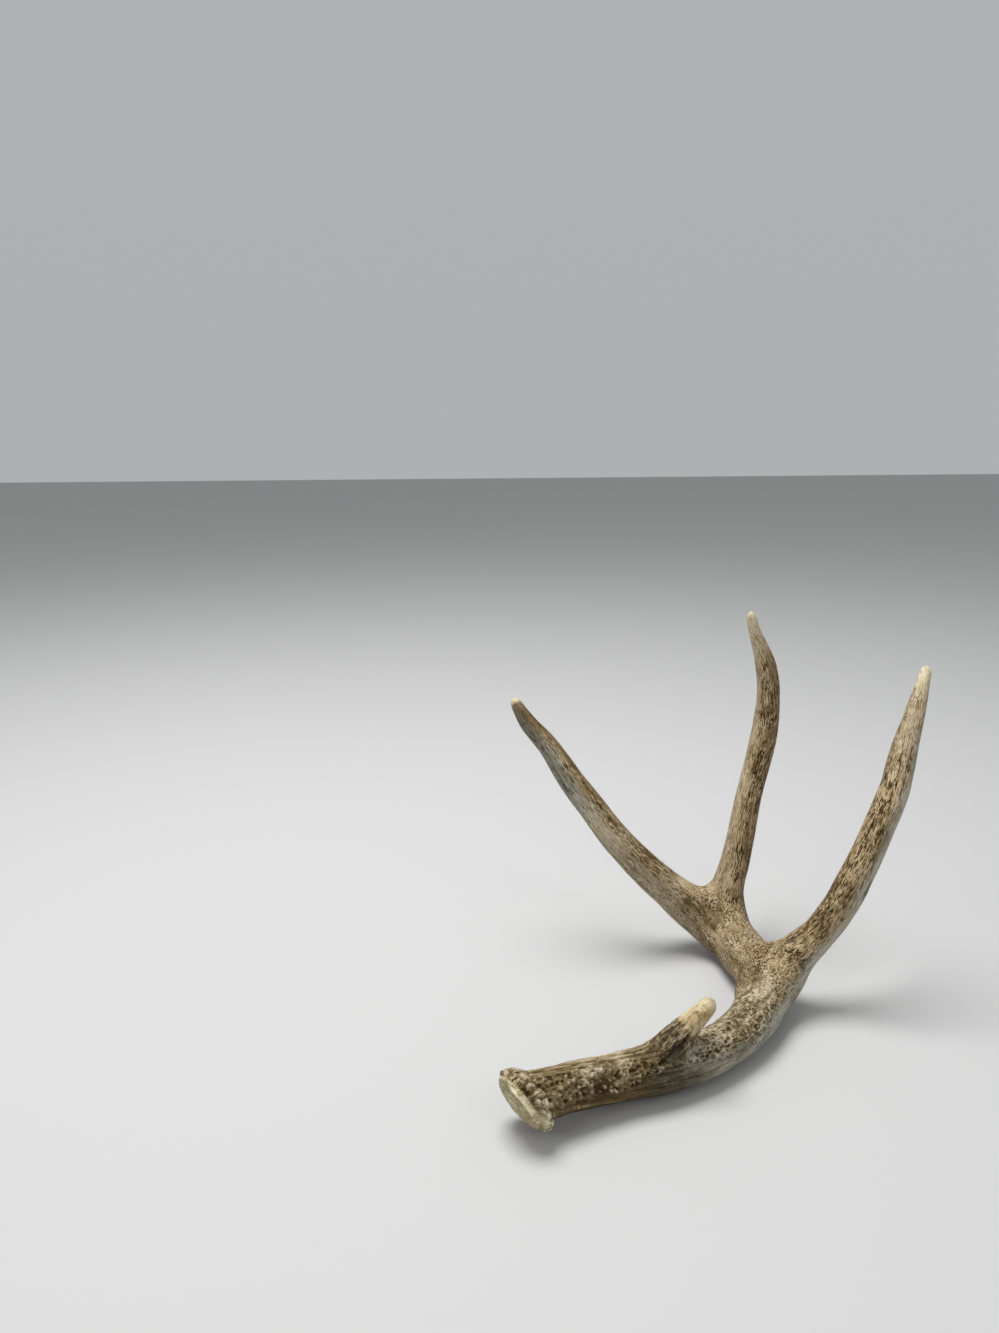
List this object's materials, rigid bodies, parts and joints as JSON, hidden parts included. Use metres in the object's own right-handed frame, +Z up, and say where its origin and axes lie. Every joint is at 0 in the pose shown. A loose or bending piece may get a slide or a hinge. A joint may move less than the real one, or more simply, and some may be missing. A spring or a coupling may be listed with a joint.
{
  "type": "deer antler",
  "caption": "Shed right deer antler lying on its outer curve, with a knobbed burr, a short brow tine and long tines rising from a bent, ridged main beam.",
  "frame": {"origin": "middle of the footprint, on the surface that the antler lies on", "axes": "+Z up, +X from the burr's side across to the second tine, the longest way; +Y from the burr back to the fork of the third tine"},
  "size_m": [0.2814, 0.253, 0.2316],
  "materials": {
    "beam_bone": "matte bone, furrowed, pearled near the burr, worn pale below",
    "brow_bone": "matte dark furrowed root, smooth ivory tip",
    "second_bone": "fine lengthwise grain, smooth ivory tip",
    "third_bone": "fine lengthwise grain, dark patches, smooth ivory tip"
  },
  "bodies": {
    "root": {"main_beam": "beam_bone", "brow_tine": "brow_bone", "second_tine": "second_bone", "third_tine": "third_bone"}
  },
  "joints": []
}
